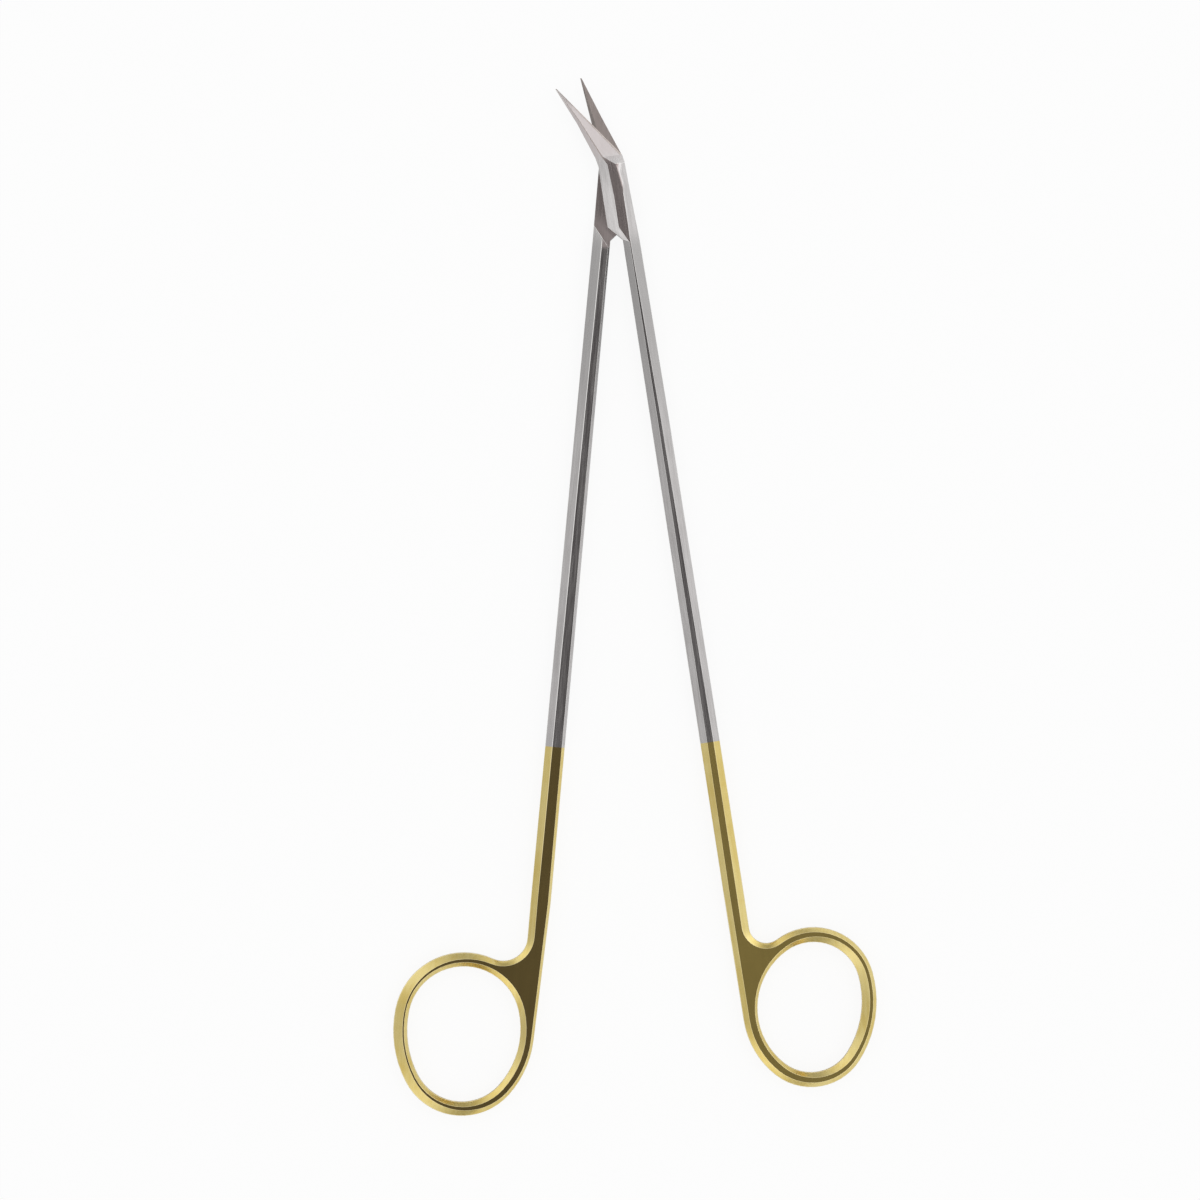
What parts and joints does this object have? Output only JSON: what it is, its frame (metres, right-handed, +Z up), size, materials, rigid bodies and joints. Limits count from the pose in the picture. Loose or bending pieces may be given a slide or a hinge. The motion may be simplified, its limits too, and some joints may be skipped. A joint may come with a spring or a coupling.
{
  "type": "angled vascular scissors",
  "caption": "Slender surgical scissors with short blades bent to one side, a flat lap pivot, long bevelled shanks and gilt finger rings.",
  "frame": {"origin": "on the pivot axis, in the plane of the undersides of the joint, on which the instrument lies", "axes": "+Y towards the blades and away from the finger rings, along the line that halves the opening of the shanks; +Z up out of the lying instrument, along the pivot axis; +X to the side away from which the blades are bent"},
  "size_m": [0.0891, 0.1902, 0.0038],
  "materials": {
    "upper_steel": "satin ground stainless steel, gilt on the rings and the lower part of the shank",
    "lower_steel": "satin ground stainless steel, gilt on the rings and the lower part of the shank",
    "upper_carbide": "finely ground hard metal",
    "lower_carbide": "finely ground hard metal",
    "screw_steel": "turned stainless steel"
  },
  "bodies": {
    "lower": {"lower_limb": "lower_steel", "lower_carbide_edge": "lower_carbide"},
    "upper": {"upper_limb": "upper_steel", "upper_carbide_edge": "upper_carbide", "pivot_screw": "screw_steel"}
  },
  "joints": [
    {"name": "blade_pivot", "type": "hinge", "parent": "lower", "child": "upper", "pos_m": [0, 0, 0.0019], "axis": [0, 0, 1], "range_deg": [-13.4, 46.6]}
  ]
}
